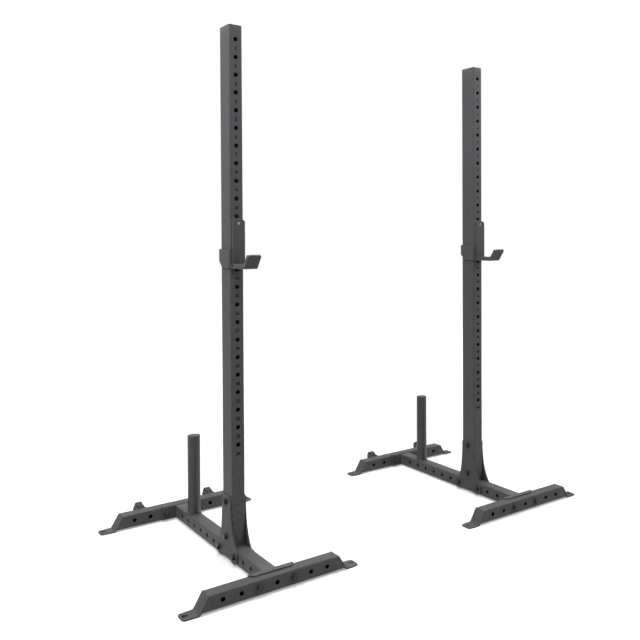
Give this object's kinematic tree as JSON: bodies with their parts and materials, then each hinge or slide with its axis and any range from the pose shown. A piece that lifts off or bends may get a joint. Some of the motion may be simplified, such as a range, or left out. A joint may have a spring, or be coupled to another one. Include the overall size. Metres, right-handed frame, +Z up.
{
  "type": "squat stand",
  "caption": "Free-standing barbell squat stands: numbered hole uprights on H-shaped bases with gussets, hooks with side flanges, plate posts and transport wheels.",
  "frame": {"origin": "on the floor, in the middle of the pair's footprint", "axes": "+Z up, +X from the left stand to the right one along the bar, -Y towards the lifter, where the hooks open"},
  "size_m": [1.782, 0.9668, 1.9076],
  "materials": {
    "powder_coat": "dark grey fine-textured powder coat, matte",
    "dark_bolts": "black oxide, satin",
    "black_plastic": "moulded, matte",
    "liner_plastic": "sawn and routed thick plastic sheet, matte",
    "wheel_rubber": "moulded, dull"
  },
  "bodies": {
    "left_stand": {"left_upright": "powder_coat", "left_upright_cap": "black_plastic", "left_base_rail": "powder_coat", "left_front_flange": "powder_coat", "left_rear_flange": "powder_coat", "left_front_crossmember": "powder_coat", "left_front_foot_plate_1": "powder_coat", "left_front_foot_plate_2": "powder_coat", "left_front_bolt_1": "dark_bolts", "left_front_bolt_2": "dark_bolts", "left_rear_crossmember": "powder_coat", "left_rear_foot_plate_1": "powder_coat", "left_rear_foot_plate_2": "powder_coat", "left_rear_bolt_1": "dark_bolts", "left_rear_bolt_2": "dark_bolts", "left_gusset_1": "powder_coat", "left_gusset_2": "powder_coat", "left_gusset_bolt_1": "dark_bolts", "left_gusset_bolt_2": "dark_bolts", "left_gusset_bolt_3": "dark_bolts", "left_gusset_bolt_4": "dark_bolts", "left_weight_post": "powder_coat", "left_weight_post_cap": "black_plastic", "left_wheel_bracket_1": "powder_coat", "left_wheel_bracket_2": "powder_coat"},
    "left_jcup": {"left_jcup_bracket": "powder_coat", "left_jcup_back_liner": "liner_plastic", "left_jcup_seat_liner": "liner_plastic"},
    "left_wheel_body_1": {"left_wheel_1": "wheel_rubber"},
    "left_wheel_body_2": {"left_wheel_2": "wheel_rubber"},
    "right_stand": {"right_upright": "powder_coat", "right_upright_cap": "black_plastic", "right_base_rail": "powder_coat", "right_front_flange": "powder_coat", "right_rear_flange": "powder_coat", "right_front_crossmember": "powder_coat", "right_front_foot_plate_1": "powder_coat", "right_front_foot_plate_2": "powder_coat", "right_front_bolt_1": "dark_bolts", "right_front_bolt_2": "dark_bolts", "right_rear_crossmember": "powder_coat", "right_rear_foot_plate_1": "powder_coat", "right_rear_foot_plate_2": "powder_coat", "right_rear_bolt_1": "dark_bolts", "right_rear_bolt_2": "dark_bolts", "right_gusset_1": "powder_coat", "right_gusset_2": "powder_coat", "right_gusset_bolt_1": "dark_bolts", "right_gusset_bolt_2": "dark_bolts", "right_gusset_bolt_3": "dark_bolts", "right_gusset_bolt_4": "dark_bolts", "right_weight_post": "powder_coat", "right_weight_post_cap": "black_plastic", "right_wheel_bracket_1": "powder_coat", "right_wheel_bracket_2": "powder_coat"},
    "right_jcup": {"right_jcup_bracket": "powder_coat", "right_jcup_back_liner": "liner_plastic", "right_jcup_seat_liner": "liner_plastic"},
    "right_wheel_body_1": {"right_wheel_1": "wheel_rubber"},
    "right_wheel_body_2": {"right_wheel_2": "wheel_rubber"}
  },
  "joints": [
    {"name": "left_jcup_swing", "type": "hinge", "parent": "left_stand", "child": "left_jcup", "pos_m": [-0.575, -0.179, 1.1688], "axis": [0, 1, 0], "range_deg": [0, 125]},
    {"name": "left_wheel_spin_1", "type": "hinge", "parent": "left_stand", "child": "left_wheel_body_1", "pos_m": [-0.721, 0.4584, 0.047], "axis": [1, 0, 0], "continuous": true},
    {"name": "left_wheel_spin_2", "type": "hinge", "parent": "left_stand", "child": "left_wheel_body_2", "pos_m": [-0.429, 0.4584, 0.047], "axis": [1, 0, 0], "continuous": true},
    {"name": "stand_spacing", "type": "slide", "parent": "left_stand", "child": "right_stand", "axis": [1, 0, 0], "range_m": [-0.15, 0.15]},
    {"name": "right_jcup_swing", "type": "hinge", "parent": "right_stand", "child": "right_jcup", "pos_m": [0.575, -0.179, 1.1688], "axis": [0, 1, 0], "range_deg": [0, 125]},
    {"name": "right_wheel_spin_1", "type": "hinge", "parent": "right_stand", "child": "right_wheel_body_1", "pos_m": [0.429, 0.4584, 0.047], "axis": [1, 0, 0], "continuous": true},
    {"name": "right_wheel_spin_2", "type": "hinge", "parent": "right_stand", "child": "right_wheel_body_2", "pos_m": [0.721, 0.4584, 0.047], "axis": [1, 0, 0], "continuous": true}
  ]
}
